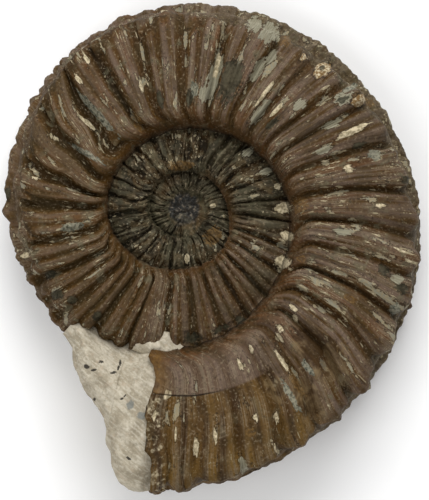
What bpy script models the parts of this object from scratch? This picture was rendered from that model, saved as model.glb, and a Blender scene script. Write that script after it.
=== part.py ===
"""Ammonite fossil lying on its flank: the coiled shell, and the limestone that fills its mouth.

Units are metres, +Z is up. The coil is modelled about its own axis, then tipped until it lies at
rest, with the origin under the middle of its footprint, on the surface that it lies on.
Angles along the coil are in degrees. They grow towards the mouth, 360 to a turn, from 0 on -X.
"""

import math

import bmesh
import bpy
from mathutils import Matrix, Vector

MM = 0.001
TURN = 360.0

# Radius of the seam between each whorl and the one inside it, at every eighth of a turn.
SEAM_START = -450.0
SEAM_RADII_MM = (
    0.0, 1.5, 2.4, 2.8, 3.1, 3.7, 4.0, 4.6, 5.0, 5.5, 6.1, 6.5, 6.9, 7.3,
    8.1, 10.2, 11.0, 12.3, 13.8, 13.8, 14.6, 16.5, 19.3, 21.9, 25.5, 27.6,
)
# Radius of the keel, along the last turn only.
KEEL_START = 270.0
KEEL_RADII_MM = (27.8, 30.3, 32.9, 35.2, 37.9, 39.9, 43.4, 47.0, 51.3, 55.0)
EIGHTH = 45.0
MOUTH = 642.0  # where the shell ends and bare limestone begins

HALF_WIDTH = 11.6 * MM  # of the last whorl, at the mouth
WIDTH_GROWTH = 1.6  # in one turn

# Where the flank ends in a shoulder, as a share of the whorl's height. A covered whorl meets the
# next one there.
COVERED = 0.87
SHOULDER_AT = (
    (282.0, COVERED), (362.0, 0.82), (385.0, 0.88), (402.0, 0.93), (430.0, 0.93),
    (485.0, 0.80), (510.0, 0.85), (530.0, 0.87), (560.0, 0.94), (642.0, 0.95),
)
SHOULDER_FALL = 0.73
SHOULDER_LEAN = 42.0

# Rows across one side of a whorl: share of the way from the seam to the shoulder, rise up the
# umbilical wall, fall towards the keel, lean of the outward direction in degrees from the radius,
# and strength of the ribs.
FLANK = (
    (0.00, 0.00, 1.00, 150.0, 0.0),
    (0.04, 0.55, 1.00, 142.0, 0.3),
    (0.12, 0.92, 1.00, 112.0, 0.9),
    (0.37, 1.00, 1.00, 92.0, 1.0),
    (0.69, 1.00, 0.97, 82.0, 1.0),
    (0.90, 1.00, 0.88, 64.0, 1.0),
    (1.00, 1.00, SHOULDER_FALL, SHOULDER_LEAN, 0.9),
)
# The same from the shoulder to the keel.
VENTER = (
    (0.50, 1.00, 0.40, 20.0, 0.2),
    (0.55, 1.00, 0.16, 30.0, 0.0),
    (1.00, 1.00, 0.00, 0.0, 0.0),
)
ROWS = FLANK + VENTER
SEAM_ROW = 0
SHOULDER_ROW = len(FLANK) - 1
KEEL_ROW = len(ROWS) - 1
COVERED_ROWS = (0, 2, 4, 6)  # all that shows of a covered whorl

# Number of the groove between ribs at a few angles, even between them.
RIB_COUNT = (
    (-819.0, -74.6), (180.0, -8.0), (291.0, 0.0), (360.0, 5.0),
    (510.0, 15.0), (555.0, 19.0), (606.0, 24.0), (717.0, 35.0),
)
RIB_RELIEF = 0.075  # crest above groove, as a share of the whorl's height
RIB_SUNK = 0.6  # share of that relief which lies below the smooth form
GROOVE_SPREAD = 0.14  # of one rib's pitch
SPLIT_AT = 0.42  # where the weak groove splits a rib in two
SPLIT_SPREAD = 0.08
SPLIT_DEPTH = 0.35
SPLIT_FADE = (500.0, 540.0)  # the ribs are single past this
RIB_FADE = (575.0, 625.0)  # and weak on the body chamber
RIB_LEFT = 0.3
KNOB_AT = 0.6  # of the pitch, where a rib ends in a knob on the shoulder
KNOB_SPREAD = 0.17
KNOB_HEIGHT = 0.035  # as a share of the whorl's height
KNOB_LEFT = 0.7  # on the body chamber
KNOB_ROWS = {5: 0.7, 6: 1.0, 7: 0.3}

# Degrees by which the ribs sweep forward between the middle of the flank and the keel.
SWEEP = ((282.0, 0.0), (330.0, 5.0), (375.0, 9.0), (430.0, 8.0), (480.0, 3.0), (600.0, 2.0), (642.0, 0.0))
SWEEP_FROM = 0.5
# Degrees by which the broken edge of the shell leans back from the seam to the keel.
EDGE_LEAN = 4.5
EDGE_LEAN_FROM = 627.0

STEP = 2.4  # degrees from one column of points to the next
KEEL_NOTCH = 0.4 * MM  # the keel is notched once in each step

GAP = 0.35 * MM  # between the limestone and the shell
# The limestone in sections from the broken edge of the shell to its far tip, where it thins out
# against the whorl inside it: radius of its free edge, and thickness as a share of the whorl's.
STONE_STEP = 3.2
FREE_EDGE_MM = (51.8, 51.6, 49.4, 44.6, 40.1, 38.3, 36.9, 35.5, 33.6, 32.3)
STONE_LIFT = (0.96, 0.96, 0.95, 0.93, 0.9, 0.86, 0.8, 0.72, 0.62, 0.5)
# Share of the way to the free edge, and lift as a share of the section's own.
STONE_FACE = ((0.10, 0.90), (0.3, 0.98), (0.6, 1.0), (0.88, 0.93), (1.0, 0.7), (1.0, 0.25))

# The mouth is the thickest part, so on its flank the coil lies tipped, and away from the mouth.
LAY_TILT = 2.55
LAY_TOWARDS = 119.0  # direction in which the coil's axis leans, from +X
WORN = 0.25 * MM  # the ribs it lies on are rubbed flat to this depth

SHARP_EDGE = 40.0  # degrees between faces, past which an edge looks sharp
SHELL_COLOUR = (0.105, 0.066, 0.038, 1.0)
STONE_COLOUR = (0.47, 0.42, 0.34, 1.0)


def smooth(low, high, x):
    t = min(1.0, max(0.0, (x - low) / (high - low)))
    return t * t * (3.0 - 2.0 * t)


def between(points, x):
    """Straight-line reading of (x, y) points."""
    for (xa, ya), (xb, yb) in zip(points, points[1:]):
        if x <= xb:
            return ya + (yb - ya) * max(0.0, x - xa) / (xb - xa)
    return points[-1][1]


def bump(x, centre, spread):
    return math.exp(-(((x - centre) / spread) ** 2))


def curve(start, values, angle):
    """Smooth curve through values in millimetres that stand an eighth of a turn apart."""
    place = max(0.0, (angle - start) / EIGHTH)
    last = len(values) - 1
    i = min(int(place), last - 1)
    t = place - i
    a, b, c, d = (values[min(last, max(0, i + k))] for k in (-1, 0, 1, 2))
    return MM * (b + 0.5 * t * (c - a + t * (2 * a - 5 * b + 4 * c - d + t * (3 * (b - c) + d - a))))


def seam_radius(angle):
    return curve(SEAM_START, SEAM_RADII_MM, angle)


def shoulder_radius(angle):
    if angle < MOUTH - TURN:
        return seam_radius(angle + TURN)
    return seam_radius(angle) + between(SHOULDER_AT, angle) * height(angle)


def height(angle):
    """Whorl height, from its seam to its keel."""
    if angle < MOUTH - TURN:
        return (seam_radius(angle + TURN) - seam_radius(angle)) / COVERED
    return curve(KEEL_START, KEEL_RADII_MM, angle) - seam_radius(angle)


def half_width(angle):
    return HALF_WIDTH * WIDTH_GROWTH ** ((max(angle, SEAM_START) - MOUTH) / TURN)


def seam_lift(angle):
    """Height of the seam above the middle plane: it lies on the shoulder of the whorl inside."""
    return SHOULDER_FALL * half_width(angle - TURN)


def rib_profile(angle):
    """0 in the groove between two ribs, 1 on a crest."""
    phase = between(RIB_COUNT, angle) % 1.0
    groove = bump(min(phase, 1.0 - phase), 0.0, GROOVE_SPREAD)
    doubled = 1.0 - smooth(*SPLIT_FADE, angle)
    return 1.0 - groove - SPLIT_DEPTH * doubled * bump(phase, SPLIT_AT, SPLIT_SPREAD)


def relief(angle, row):
    """How far the shell stands out from its smooth form at this row."""
    chamber = smooth(*RIB_FADE, angle)
    phase = between(RIB_COUNT, angle) % 1.0
    rib = RIB_RELIEF * ROWS[row][4] * (rib_profile(angle) - RIB_SUNK)
    knob = KNOB_HEIGHT * KNOB_ROWS.get(row, 0.0) * bump(phase, KNOB_AT, KNOB_SPREAD)
    return height(angle) * (rib * (1 - chamber * (1 - RIB_LEFT)) + knob * (1 - chamber * (1 - KNOB_LEFT)))


def turned(angle, radius, lift):
    """The point at this angle along the coil, this far from the axis and above the middle plane."""
    a = math.radians(angle)
    return Vector((-radius * math.cos(a), radius * math.sin(a), lift))


def edge_lean(across):
    return EDGE_LEAN * smooth(0.0, 1.0, across)


def shell_point(angle, row, side, proud=0.0):
    """A point of the shell's outside. Side is 1 above the middle plane and -1 below."""
    share, rise, fall, lean, _ = ROWS[row]
    seam, shoulder = seam_radius(angle), shoulder_radius(angle)
    if row <= SHOULDER_ROW:
        radius = seam + share * (shoulder - seam)
    else:
        radius = shoulder + share * (seam + height(angle) - shoulder)
    across = (radius - seam) / height(angle)
    low = seam_lift(angle)
    lift = (low + (half_width(angle) - low) * rise) * fall
    out = relief(angle, row) + proud
    radius += out * math.cos(math.radians(lean))
    lift += out * math.sin(math.radians(lean))
    swept = between(SWEEP, angle) * smooth(SWEEP_FROM, 1.0, across)
    broken = smooth(EDGE_LEAN_FROM, MOUTH, angle) * edge_lean(across)
    return turned(angle + swept - broken, radius, side * lift)


class ShellMesh:
    """The shell as one closed skin: a strip on each side winds outward, and each turn shares the
    points along its seam with the shoulder of the turn inside it."""

    def __init__(self):
        self.mesh = bmesh.new()
        self.points = {}
        self.per_turn = round(TURN / STEP)
        self.end = round((MOUTH - SEAM_START) / STEP)
        self.first_open = self.end - self.per_turn
        core = seam_lift(SEAM_START + TURN)
        self.poles = {side: self.mesh.verts.new((0.0, 0.0, side * core)) for side in (1, -1)}

    def angle(self, column):
        return SEAM_START + column * STEP

    def point(self, column, row, side):
        if column == 0:
            return self.poles[side]
        if row == SEAM_ROW:
            if column < self.per_turn:
                return self.poles[side]
            return self.point(column - self.per_turn, SHOULDER_ROW, side)
        if row == KEEL_ROW:
            side = 1
        key = (column, row, side)
        if key not in self.points:
            place = shell_point(self.angle(column), row, side)
            self.points[key] = self.mesh.verts.new(place)
        return self.points[key]

    def keel_tooth(self, column):
        """The high point of the keel between this column and the next."""
        key = (column, "tooth")
        if key not in self.points:
            place = shell_point(self.angle(column + 0.5), KEEL_ROW, 1, KEEL_NOTCH)
            self.points[key] = self.mesh.verts.new(place)
        return self.points[key]

    def face(self, corners):
        ring = [v for i, v in enumerate(corners) if v is not corners[i - 1]]
        if len(ring) > 2:
            self.mesh.faces.new(ring)

    def rows_at(self, column):
        return COVERED_ROWS if column < self.first_open else range(KEEL_ROW + 1)

    def add_strips(self):
        for side in (1, -1):
            for column in range(self.end):
                rows = list(self.rows_at(column))
                for low, high in zip(rows, rows[1:]):
                    near = [self.point(column, r, side) for r in (low, high)]
                    next_rows = [r for r in self.rows_at(column + 1) if low <= r <= high]
                    far = [self.point(column + 1, r, side) for r in reversed(next_rows)]
                    if high == KEEL_ROW:
                        tooth = self.keel_tooth(column)
                        self.face((near + [tooth])[::side])
                        near[1] = tooth
                    self.face((near + far)[::side])

    def add_broken_end(self):
        """The end of the last whorl, a crescent round the back of the whorl inside it."""
        outer = [self.point(self.end, r, 1) for r in range(SEAM_ROW, KEEL_ROW + 1)]
        outer += [self.point(self.end, r, -1) for r in range(KEEL_ROW - 1, SEAM_ROW, -1)]
        inner = [self.point(self.first_open, r, -1) for r in range(SHOULDER_ROW, KEEL_ROW + 1)]
        inner += [self.point(self.first_open, r, 1) for r in range(KEEL_ROW - 1, SHOULDER_ROW, -1)]
        self.face(outer + inner)


def stone_section(column):
    """Closed ring round the limestone: the back of the whorl that it lies against, then its
    upper face, its free edge and its lower face."""
    angle = MOUTH + column * STONE_STEP
    far = column / (len(FREE_EDGE_MM) - 1)
    clear = math.degrees(GAP / seam_radius(MOUTH))
    wall = [(r, -1) for r in range(SHOULDER_ROW, KEEL_ROW)]
    wall += [(r, 1) for r in range(KEEL_ROW, SHOULDER_ROW - 1, -1)]
    ring = []
    for row, side in wall:
        proud = GAP + (KEEL_NOTCH if row == KEEL_ROW else 0.0)
        place = shell_point(angle + clear - TURN, row, side, proud)
        if row == SHOULDER_ROW:
            place = place.lerp(shell_point(angle + clear - TURN, row + 1, side, GAP), 0.5 * far)
        ring.append(place)
    corner = ring[-1]
    start, reach = math.hypot(corner.x, corner.y), FREE_EDGE_MM[column] * MM
    full = half_width(angle) * STONE_LIFT[column]
    upper = []
    for share, lift in STONE_FACE:
        radius = start + (reach - start) * share
        across = (radius - seam_radius(MOUTH)) / height(MOUTH)
        turn_back = (1.0 - far) * edge_lean(across)
        clear = math.degrees(GAP / radius)
        upper.append(turned(angle + clear - turn_back, radius, lift * full))
    return ring + upper + [Vector((p.x, p.y, -p.z)) for p in reversed(upper)]


def stone_mesh():
    mesh = bmesh.new()
    rings = [[mesh.verts.new(p) for p in stone_section(c)] for c in range(len(FREE_EDGE_MM))]
    for near, far in zip(rings, rings[1:]):
        for i in range(len(near)):
            j = (i + 1) % len(near)
            mesh.faces.new((near[i], near[j], far[j], far[i]))
    mesh.faces.new(rings[0])
    mesh.faces.new(rings[-1])
    return mesh


def lay():
    towards = math.radians(LAY_TOWARDS)
    return Matrix.Rotation(math.radians(LAY_TILT), 4, (-math.sin(towards), math.cos(towards), 0.0))


def wear_flat(mesh, level):
    """Cuts the mesh level with this height, as the crests it rests on are rubbed flat."""
    everything = mesh.verts[:] + mesh.edges[:] + mesh.faces[:]
    bmesh.ops.bisect_plane(
        mesh, geom=everything, dist=1e-7, plane_co=(0, 0, level), plane_no=(0, 0, 1), clear_inner=True
    )
    open_edges = [e for e in mesh.edges if e.is_boundary]
    bmesh.ops.holes_fill(mesh, edges=open_edges, sides=0)


def material(name, colour, roughness):
    made = bpy.data.materials.new(name)
    made.use_nodes = True
    shader = made.node_tree.nodes["Principled BSDF"]
    shader.inputs["Base Color"].default_value = colour
    shader.inputs["Roughness"].default_value = roughness
    shader.inputs["Metallic"].default_value = 0.0
    return made


def add_object(name, mesh, finish):
    bmesh.ops.triangulate(mesh, faces=mesh.faces[:])
    bmesh.ops.recalc_face_normals(mesh, faces=mesh.faces[:])
    data = bpy.data.meshes.new(name)
    mesh.to_mesh(data)
    mesh.free()
    data.shade_smooth()
    data.set_sharp_from_angle(angle=math.radians(SHARP_EDGE))
    data.materials.append(finish)
    made = bpy.data.objects.new(name, data)
    bpy.context.scene.collection.objects.link(made)
    return made


def main():
    for old in list(bpy.data.objects):
        bpy.data.objects.remove(old)

    shell = ShellMesh()
    shell.add_strips()
    shell.add_broken_end()
    meshes = [shell.mesh, stone_mesh()]

    for mesh in meshes:
        mesh.transform(lay())
    points = [v.co for mesh in meshes for v in mesh.verts]
    level = min(p.z for p in points) + WORN
    for mesh in meshes:
        wear_flat(mesh, level)
    points = [v.co for mesh in meshes for v in mesh.verts]
    middle = [(min(p[k] for p in points) + max(p[k] for p in points)) / 2 for k in (0, 1)]
    for mesh in meshes:
        mesh.transform(Matrix.Translation((-middle[0], -middle[1], -level)))

    add_object("shell", meshes[0], material("fossil_shell", SHELL_COLOUR, 0.5))
    add_object("limestone_filling", meshes[1], material("limestone", STONE_COLOUR, 0.85))


main()
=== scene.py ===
import bisect
import math

import bmesh
import bpy
from mathutils import Matrix, Vector, bvhtree, noise


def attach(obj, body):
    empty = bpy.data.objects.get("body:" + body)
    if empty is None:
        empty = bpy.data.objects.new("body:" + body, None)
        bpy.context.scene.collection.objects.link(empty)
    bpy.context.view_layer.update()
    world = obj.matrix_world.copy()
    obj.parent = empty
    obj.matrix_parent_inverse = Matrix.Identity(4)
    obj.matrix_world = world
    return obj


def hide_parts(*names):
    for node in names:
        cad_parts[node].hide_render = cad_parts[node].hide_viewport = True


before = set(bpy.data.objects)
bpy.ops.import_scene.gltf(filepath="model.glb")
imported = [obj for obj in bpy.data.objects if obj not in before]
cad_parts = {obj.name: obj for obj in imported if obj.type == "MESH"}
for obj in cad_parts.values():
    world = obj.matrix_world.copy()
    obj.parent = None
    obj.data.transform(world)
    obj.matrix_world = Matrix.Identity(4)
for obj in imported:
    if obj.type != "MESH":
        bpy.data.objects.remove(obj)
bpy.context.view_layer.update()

# The shell. One tube of brown mineral that grew as a flat coil, each turn welded to the one inside
# it. Ribs cross its flanks and end in knobs on the shoulder, and a corded keel runs round the back.
# Angles along the coil are degrees that grow towards the mouth, 360 to a turn, from 0 on -X.
MM = 0.001
TURN = 360.0

# The angles at which the coil, its last turn and its body chamber start, and that of the mouth.
COIL_START, LAST_TURN, CHAMBER, MOUTH = -450.0, 282.0, 588.0, 642.0

# By angle: how far the seam and the keel lie from the coil's centre, and at what share of the
# height between them the shoulder is.
SEAM_MM = (
    (-450, 0.0), (-405, 1.5), (-360, 2.4), (-315, 2.8), (-270, 3.1), (-225, 3.7), (-180, 4.0),
    (-135, 4.6), (-90, 5.0), (-45, 5.5), (0, 6.1), (45, 6.5), (90, 6.9), (135, 7.3), (180, 8.1),
    (225, 10.2), (270, 11.0), (315, 12.3), (360, 13.8), (405, 13.8), (450, 14.6), (495, 16.5),
    (540, 19.3), (585, 21.9), (630, 25.5), (675, 27.6),
)
KEEL_MM = (
    (270, 27.8), (303, 29.7), (310, 30.9), (315, 31.7), (320, 31.0), (332, 31.3), (360, 32.9),
    (405, 35.2), (450, 37.9), (495, 39.9), (540, 43.4), (585, 47.0), (630, 51.3), (675, 55.0),
)
SHOULDER_AT = (
    (282, 0.87), (362, 0.82), (385, 0.88), (402, 0.93), (430, 0.93), (485, 0.80), (510, 0.85),
    (530, 0.87), (560, 0.94), (642, 0.95),
)

# Half the mouth's width, how many times wider a turn is than the one inside it, and how high the
# shoulder lies, as a share of the flank's height.
HALF_WIDTH_MM = 11.45
WIDTH_GROWTH = 1.6
SHOULDER_FALL = 0.73

# Across a whorl, the way runs from 0 at the seam, over 1 at the shoulder, to 2 at the keel.
WALL_RISE = ((0, 0), (0.02, 0.32), (0.04, 0.55), (0.07, 0.76), (0.12, 0.92), (0.2, 0.98), (0.37, 1), (1, 1))
FLANK_FALL = ((0, 1), (0.37, 1), (0.69, 0.97), (0.9, 0.87), (1, SHOULDER_FALL))
VENTER_OUT = ((0, 0), (0.2, 0.22), (0.4, 0.42), (0.5, 0.48), (0.58, 0.47), (0.66, 0.62), (0.8, 0.87), (1, 1))
VENTER_FALL = (
    (0, SHOULDER_FALL), (0.2, 0.60), (0.4, 0.44), (0.5, 0.33), (0.58, 0.22), (0.66, 0.16),
    (0.8, 0.12), (0.92, 0.07), (1, 0),
)

# Grooves between the ribs, numbered from 0 at the first one of the last turn.
GROOVES = (
    277.5, 291, 305, 318, 332, 346, 361, 373, 389, 405, 421, 435, 450, 464, 479, 491, 502, 510, 522,
    534, 545, 555, 565, 575, 585, 595, 605, 615, 625, 635, 645,
)
INNER_GROOVES = ((-450, -51.5), (60, -17.5), (187, -8), (282, -0.67))
GROOVE_DEPTH = (
    (277, 1.0), (346, 0.95), (361, 1.1), (405, 1.1), (425, 0.9), (450, 0.65), (464, 0.8), (500, 0.6),
    (512, 0.75), (530, 0.8), (555, 0.7), (567, 0.8), (585, 0.75), (595, 0.6), (605, 0.7), (645, 0.55),
)

# How the growth lines and ribs run, in degrees: forward over the outer flank, forward again down
# the wall to the seam, and leaning back from mid flank to the seam where the whorl was squeezed.
SWEEP = (
    (282, 0), (330, 2), (361, 3), (375, 8), (389, 9), (405, 5), (421, 0), (480, 1), (560, 2), (580, 3.5),
    (600, 3), (642, 0),
)
SWING = (
    (-450, 9), (120, 8), (200, 1), (282, 5), (340, 8), (361, 3), (421, 9), (450, 7), (520, 4), (545, 5),
    (575, 9), (642, 9),
)
LEAN = ((-450, 0), (350, 0), (361, 1), (373, 9), (389, 11), (405, 5), (421, 0), (642, 0))

# The single marks that tell this fossil from others of its kind: chips of pale shell, larger ones
# the colour of ash, pale rings, dark and slate spots, and mottled and tan patches. Each is an
# angle, a radius from the coil's centre, a half length outwards and a half width, on the upper
# flank.
MARKS = {
    "pale": (
        (103, 27.2, 2.6, 0.5), (155, 33.8, 3.1, 0.6), (275, 33.8, 0.8, 0.7), (42, 23.5, 1.8, 0.4),
        (166, 17.7, 0.7, 0.6), (179, 18.3, 1.5, 1.1), (194, 19.5, 1.3, 0.8), (208, 20.7, 1.5, 1.2),
        (266, 9.0, 0.9, 0.5), (172, 5.4, 0.6, 0.4), (71, 23.9, 1.1, 0.4), (51, 30.6, 1.3, 0.35),
        (57, 32.6, 0.8, 0.4), (29, 27.3, 1.1, 0.35), (12, 27.5, 0.9, 0.3), (344, 30.4, 0.8, 0.6),
        (84, 37.3, 0.6, 1.5), (125, 26.1, 2.6, 0.4), (133, 25.0, 1.8, 0.4), (166, 31.0, 0.8, 0.7),
        (179, 36.0, 1.1, 0.5), (222, 26.8, 0.9, 0.5), (237, 32.9, 2.6, 0.4), (250, 29.9, 1.3, 0.4),
        (267, 43.4, 1.7, 0.4), (249, 46.7, 1.3, 0.3), (278, 38.2, 0.9, 0.3), (272, 41.0, 1.6, 0.2),
        (262, 41.5, 1.8, 0.25), (224, 28.5, 0.7, 0.5), (231, 28.0, 0.7, 0.6), (233, 29.2, 1.0, 0.35),
        (244, 28.3, 0.8, 0.4), (251, 40.3, 0.7, 0.4), (246, 41.6, 0.8, 0.5),
    ),
    "ash": (
        (111, 36.6, 1.5, 1.3), (116, 36.2, 2.0, 1.7), (103, 25.1, 4.4, 1.0), (145, 35.3, 1.5, 1.1),
        (100, 21.6, 1.5, 0.9), (128, 22.5, 2.6, 0.8), (118, 29.0, 2.4, 0.8), (138, 28.6, 1.3, 0.8),
        (157, 27.8, 1.6, 0.6), (188, 28.9, 1.5, 0.5), (257, 48.0, 1.2, 1.0), (198, 41.1, 0.9, 0.9),
        (150, 31.2, 1.7, 0.6), (120, 32.3, 1.7, 0.6), (138, 15.8, 1.0, 0.7), (155, 16.7, 1.1, 0.8),
    ),
    "ring": (
        (135, 36.0, 1.8, 1.2), (128, 35.3, 0.8, 0.6), (148, 37.7, 1.4, 1.0),
    ),
    "dark": (
        (110, 25.0, 3.8, 1.8), (145, 35.1, 0.8, 0.8), (78, 20.6, 1.5, 0.6), (135, 36.0, 0.7, 0.4),
        (136, 22.4, 1.3, 0.6), (197, 38.2, 1.1, 0.9), (172, 40.6, 0.6, 0.6), (93, 20.6, 1.5, 0.6),
        (309, 25.2, 0.9, 0.7), (321, 26.3, 0.9, 0.7), (326, 27.9, 1.1, 0.9), (334, 27.2, 0.9, 0.7),
        (266, 23.5, 0.9, 1.7), (252, 23.1, 0.7, 1.5), (243, 22.8, 0.7, 1.1), (5, 32.7, 0.6, 1.3),
        (128, 35.3, 0.4, 0.4), (160, 34.2, 1.1, 0.6), (200, 42.4, 0.9, 0.9),
    ),
    "slate": (
        (114, 35.1, 0.7, 0.7), (30, 20.4, 3.5, 0.5), (48, 23.9, 5.5, 0.6), (95, 22.0, 1.5, 0.7),
        (164, 36.2, 1.1, 0.9), (351, 20.6, 2.2, 0.7), (144, 37.7, 1.8, 0.6), (205, 42.6, 1.1, 1.1),
        (240, 39.5, 3.3, 0.6), (232, 36.7, 1.8, 0.5),
    ),
    "mottled": (
        (227, 36.5, 6.5, 3.8), (237, 41.5, 4.0, 2.6), (243, 36.0, 3.5, 1.6),
    ),
    "tan": (
        (62, 18.4, 1.8, 0.7), (178, 21.5, 1.3, 1.5), (203, 23.3, 0.9, 0.7), (208, 34.5, 1.5, 0.6),
        (253, 42.6, 1.1, 0.7), (280, 28.5, 2.6, 0.7), (237, 38.9, 2.6, 0.6), (121, 35.8, 1.1, 1.1),
        (150, 39.3, 0.9, 0.9), (86, 8.1, 0.9, 2.3), (222, 7.2, 1.5, 1.8),
    ),
}

# The knobs that stand out at rib ends on the upper flank: angle, radius, spread and height.
KNOBS = (
    (121, 35.8, 1.6, 0.8), (127, 34.9, 1.3, 0.6), (135, 35.8, 1.8, 0.8), (147, 37.6, 1.7, 1.0),
    (158, 38.6, 1.6, 0.8), (165, 39.6, 1.4, 0.6), (172, 40.3, 1.7, 1.0), (183, 42.0, 1.7, 0.6),
    (198, 43.0, 1.8, 0.6), (212, 44.0, 1.8, 0.5), (225, 45.8, 2.0, 0.8), (238, 46.5, 2.2, 0.7),
    (249, 48.5, 2.0, 0.5), (259, 49.0, 2.4, 0.9), (270, 50.3, 2.2, 1.0),
)

# How far back the broken end of the shell lies, in degrees, from the seam to the keel.
BROKEN_BACK = (
    (0, 0), (0.03, -0.6), (0.08, -0.4), (0.12, 1.2), (0.18, 2.6), (0.24, 3.2), (0.32, 2.8), (0.44, 2.1),
    (0.57, 2.6), (0.7, 3.2), (0.8, 4.6), (1, 5.0),
)

# How many degrees apart the lobes of the cord stand, and the scallops on the first half of the last
# turn's edge.
CORD_STEP, SCALLOP_STEP = 2.6, 7.5

# Where the coil's own centre lies in the frame, and how it is tipped to rest on its flank.
COIL_PLACE_MM = (-5.39, 7.14, 10.36)
LAY_TILT, LAY_TOWARDS = math.radians(2.55), math.radians(119.0)
LAY_AXIS = (-math.sin(LAY_TOWARDS), math.cos(LAY_TOWARDS), 0.0)

# Points of the sheets that lie closer than this are welded into one.
WELD_MM = 0.01


class Wire:
    """One value in a node tree. Arithmetic on it adds Math nodes."""

    def __init__(self, socket):
        self.socket = socket

    @staticmethod
    def node(tree, kind, settings=None, inputs=None, output=0):
        """Adds any node: its settings first, then the values or links of its sockets."""
        made = tree.nodes.new(kind)
        for name, value in (settings or {}).items():
            if name == "curve":
                points = made.mapping.curves[0].points
                for x, y in value[1:-1]:
                    points.new(x, y)
                for point, place in zip((points[0], points[-1]), (value[0], value[-1])):
                    point.location = place
                made.mapping.extend = "HORIZONTAL"
                made.mapping.update()
            else:
                setattr(made, name, value)
        for name, value in (inputs or {}).items():
            if isinstance(value, Wire):
                tree.links.new(value.socket, made.inputs[name])
            else:
                made.inputs[name].default_value = value
        return Wire(made.outputs[output])

    def also(self, output):
        """Another output of the same node."""
        return Wire(self.socket.node.outputs[output])

    def math(self, operation, first, second=0.0):
        tree = self.socket.id_data
        return Wire.node(tree, "ShaderNodeMath", {"operation": operation}, {0: first, 1: second})

    def __add__(self, other):
        return self.math("ADD", self, other)

    def __sub__(self, other):
        return self.math("SUBTRACT", self, other)

    def __rsub__(self, other):
        return self.math("SUBTRACT", other, self)

    def __mul__(self, other):
        return self.math("MULTIPLY", self, other)

    def __truediv__(self, other):
        return self.math("DIVIDE", self, other)

    def __rtruediv__(self, other):
        return self.math("DIVIDE", other, self)

    def __pow__(self, other):
        return self.math("POWER", self, other)

    def __rpow__(self, other):
        return self.math("POWER", other, self)

    def __mod__(self, other):
        return self.math("FLOORED_MODULO", self, other)

    def __lt__(self, other):
        return self.math("LESS_THAN", self, other)

    def __gt__(self, other):
        return self.math("GREATER_THAN", self, other)

    def __neg__(self):
        return self.math("MULTIPLY", self, -1.0)

    def __abs__(self):
        return self.math("ABSOLUTE", self)

    __radd__ = __add__
    __rmul__ = __mul__


def least(a, b):
    return a.math("MINIMUM", a, b)


def most(a, b):
    return a.math("MAXIMUM", a, b)


def floor(a):
    return a.math("FLOOR", a)


def sine_of(a):
    return a.math("SINE", a)


def cosine_of(a):
    return a.math("COSINE", a)


def choose(mask, yes, no):
    """The first value where the mask is 1, and the second where it is 0."""
    return no + mask * (yes - no)


def bell(x, centre, spread):
    """1 at the centre, falling off softly to 0 on both sides."""
    away = (x - centre) / spread
    return math.e ** -(away * away)


def smooth(low, high, x):
    """0 below the low value and 1 above the high one, with a soft rise between them."""
    tree = x.socket.id_data
    settings = {"interpolation_type": "SMOOTHSTEP"}
    return Wire.node(tree, "ShaderNodeMapRange", settings, {"Value": x, "From Min": low, "From Max": high})


def read(points, x):
    """Reads a curve that runs smoothly through (x, y) points."""
    (start, _), (end, _) = points[0], points[-1]
    low, high = min(y for _, y in points), max(y for _, y in points)
    curve = [((px - start) / (end - start), (py - low) / (high - low)) for px, py in points]
    share = (x - start) / (end - start)
    found = Wire.node(x.socket.id_data, "ShaderNodeFloatCurve", {"curve": curve}, {"Value": share})
    return found * (high - low) + low


def cloud(place, scale, detail=3.0, distortion=0.0):
    """Soft noise between 0 and 1, in lumps as large as 1 / scale."""
    inputs = {"Vector": place, "Scale": scale, "Detail": detail, "Distortion": distortion}
    return Wire.node(place.socket.id_data, "ShaderNodeTexNoise", None, inputs)


def point(x, y, z):
    tree = next(v for v in (x, y, z) if isinstance(v, Wire)).socket.id_data
    return Wire.node(tree, "ShaderNodeCombineXYZ", None, {"X": x, "Y": y, "Z": z})


def vector(operation, first, second=(0.0, 0.0, 0.0)):
    """One step of vector arithmetic. SCALE takes a number as its second value."""
    inputs = {0: first, "Scale" if operation == "SCALE" else 1: second}
    return Wire.node(first.socket.id_data, "ShaderNodeVectorMath", {"operation": operation}, inputs)


def axis_distance(place):
    """How far a place, taken from the coil's centre, is from the coil's axis."""
    return vector("LENGTH", vector("MULTIPLY", place, (1.0, 1.0, 0.0))).also("Value")


def flank_share(way):
    """How far out on the flank a way is, as a share of the flank's height."""
    flank_way = least(way, 1.0)
    return flank_way * (0.65 + 0.35 * flank_way)


def growth_line(angle, share):
    """The angle at mid flank of the growth line that runs through a point."""
    leaning = read(LEAN, angle) * (1.0 - smooth(0.0, 0.6, share))
    return angle + leaning - read(SWING, angle) * bell(share, 0.0, 0.11)


# The whorl's form: for an angle, a way across and a side, where the smooth tube lies, how far its
# ribs stand out there, and how deep in a groove it is.
form = bpy.data.node_groups.new("whorl_form", "GeometryNodeTree")
FORM_INPUTS = ("Angle", "Way", "Side", "Half Width", "Rib Relief")
for name in FORM_INPUTS:
    form.interface.new_socket(name=name, in_out="INPUT", socket_type="NodeSocketFloat")
for name, kind in (("Place", "Vector"), ("Raised", "Float"), ("Groove", "Float")):
    form.interface.new_socket(name=name, in_out="OUTPUT", socket_type="NodeSocket" + kind)
given = Wire.node(form, "NodeGroupInput")
angle, way, side, half_width, rib_relief = (given.also(name) for name in FORM_INPUTS)

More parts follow.
